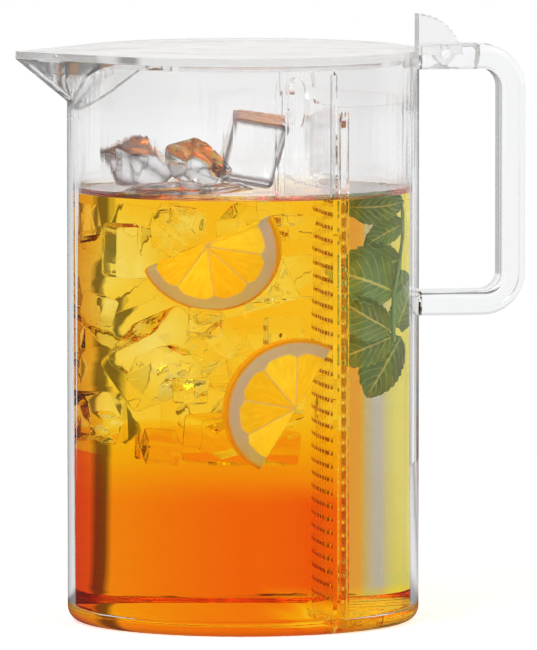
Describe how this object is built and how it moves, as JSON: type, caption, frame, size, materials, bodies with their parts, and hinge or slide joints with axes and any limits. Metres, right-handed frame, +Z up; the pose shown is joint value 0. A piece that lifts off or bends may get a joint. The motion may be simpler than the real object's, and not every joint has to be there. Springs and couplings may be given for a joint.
{
  "type": "iced tea pitcher",
  "caption": "Clear cylindrical pitcher with a V spout, slotted ice guard, hinged lid with thumb lever, D handle and a lift-out slotted infuser basket.",
  "frame": {"origin": "centre of the jug's underside, on the jug axis", "axes": "+Z up along the jug axis, +X towards the handle, the spout points along -X, +Y completes the right-handed frame"},
  "size_m": [0.212, 0.145, 0.2497],
  "materials": {
    "jug_clear": "clear polished",
    "handle_clear": "clear polished",
    "lid_clear": "clear, lightly hazed",
    "infuser_clear": "clear polished",
    "pin_plastic": "smooth"
  },
  "bodies": {
    "jug": {"jug_body": "jug_clear", "handle": "handle_clear", "ice_guard": "jug_clear", "hinge_pin": "pin_plastic"},
    "lid": {"lid": "lid_clear"},
    "infuser": {"infuser_shell": "infuser_clear", "infuser_screen": "infuser_clear"}
  },
  "joints": [
    {"name": "lid_hinge", "type": "hinge", "parent": "jug", "child": "lid", "pos_m": [0.0835, 0, 0.2335], "axis": [0, 1, 0], "range_deg": [0, 80]},
    {"name": "infuser_lift", "type": "slide", "parent": "jug", "child": "infuser", "axis": [0, 0, 1], "range_m": [0, 0.004]}
  ]
}
